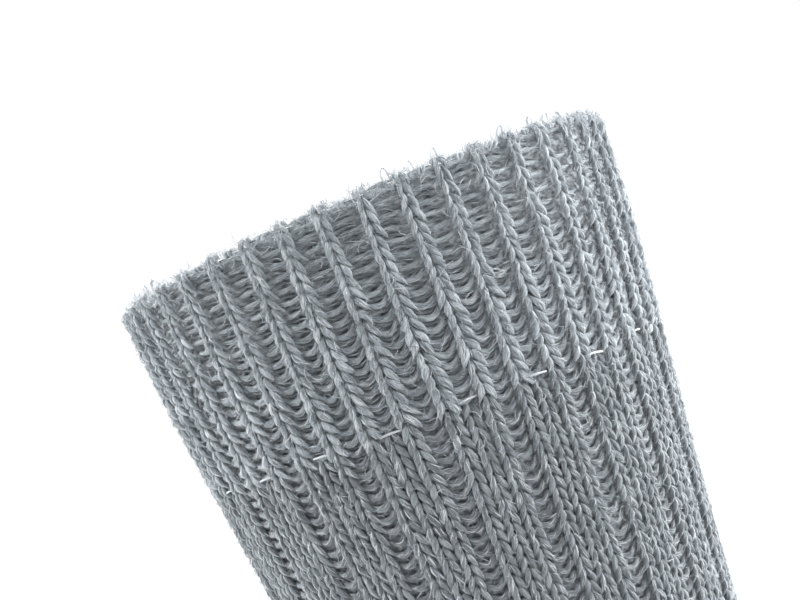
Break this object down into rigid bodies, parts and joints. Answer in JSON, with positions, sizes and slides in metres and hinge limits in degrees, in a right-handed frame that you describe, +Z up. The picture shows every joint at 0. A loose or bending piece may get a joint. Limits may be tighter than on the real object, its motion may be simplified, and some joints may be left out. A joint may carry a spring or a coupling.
{
  "type": "ribbed wool crew sock",
  "caption": "Hollow knitted crew sock in its worn shape, with a ribbed cuff and leg, a heel cup and a rounded toe.",
  "frame": {"origin": "centre of the leg's hollow in the middle of the cuff band, 20 mm below the rim, where the calf holds the sock up", "axes": "+Z up the leg towards the rim, -Y towards the toe, +X to the side"},
  "size_m": [0.0998, 0.2498, 0.2722],
  "materials": {
    "rib_wool": "grey marl wool, ribbed knit, matt with a soft nap",
    "plain_wool": "grey marl wool, plain knit, matt with a soft nap"
  },
  "bodies": {
    "root": {"cuff": "rib_wool", "leg": "rib_wool", "heel": "plain_wool", "instep": "plain_wool", "sole": "plain_wool", "toe": "plain_wool"}
  },
  "joints": []
}
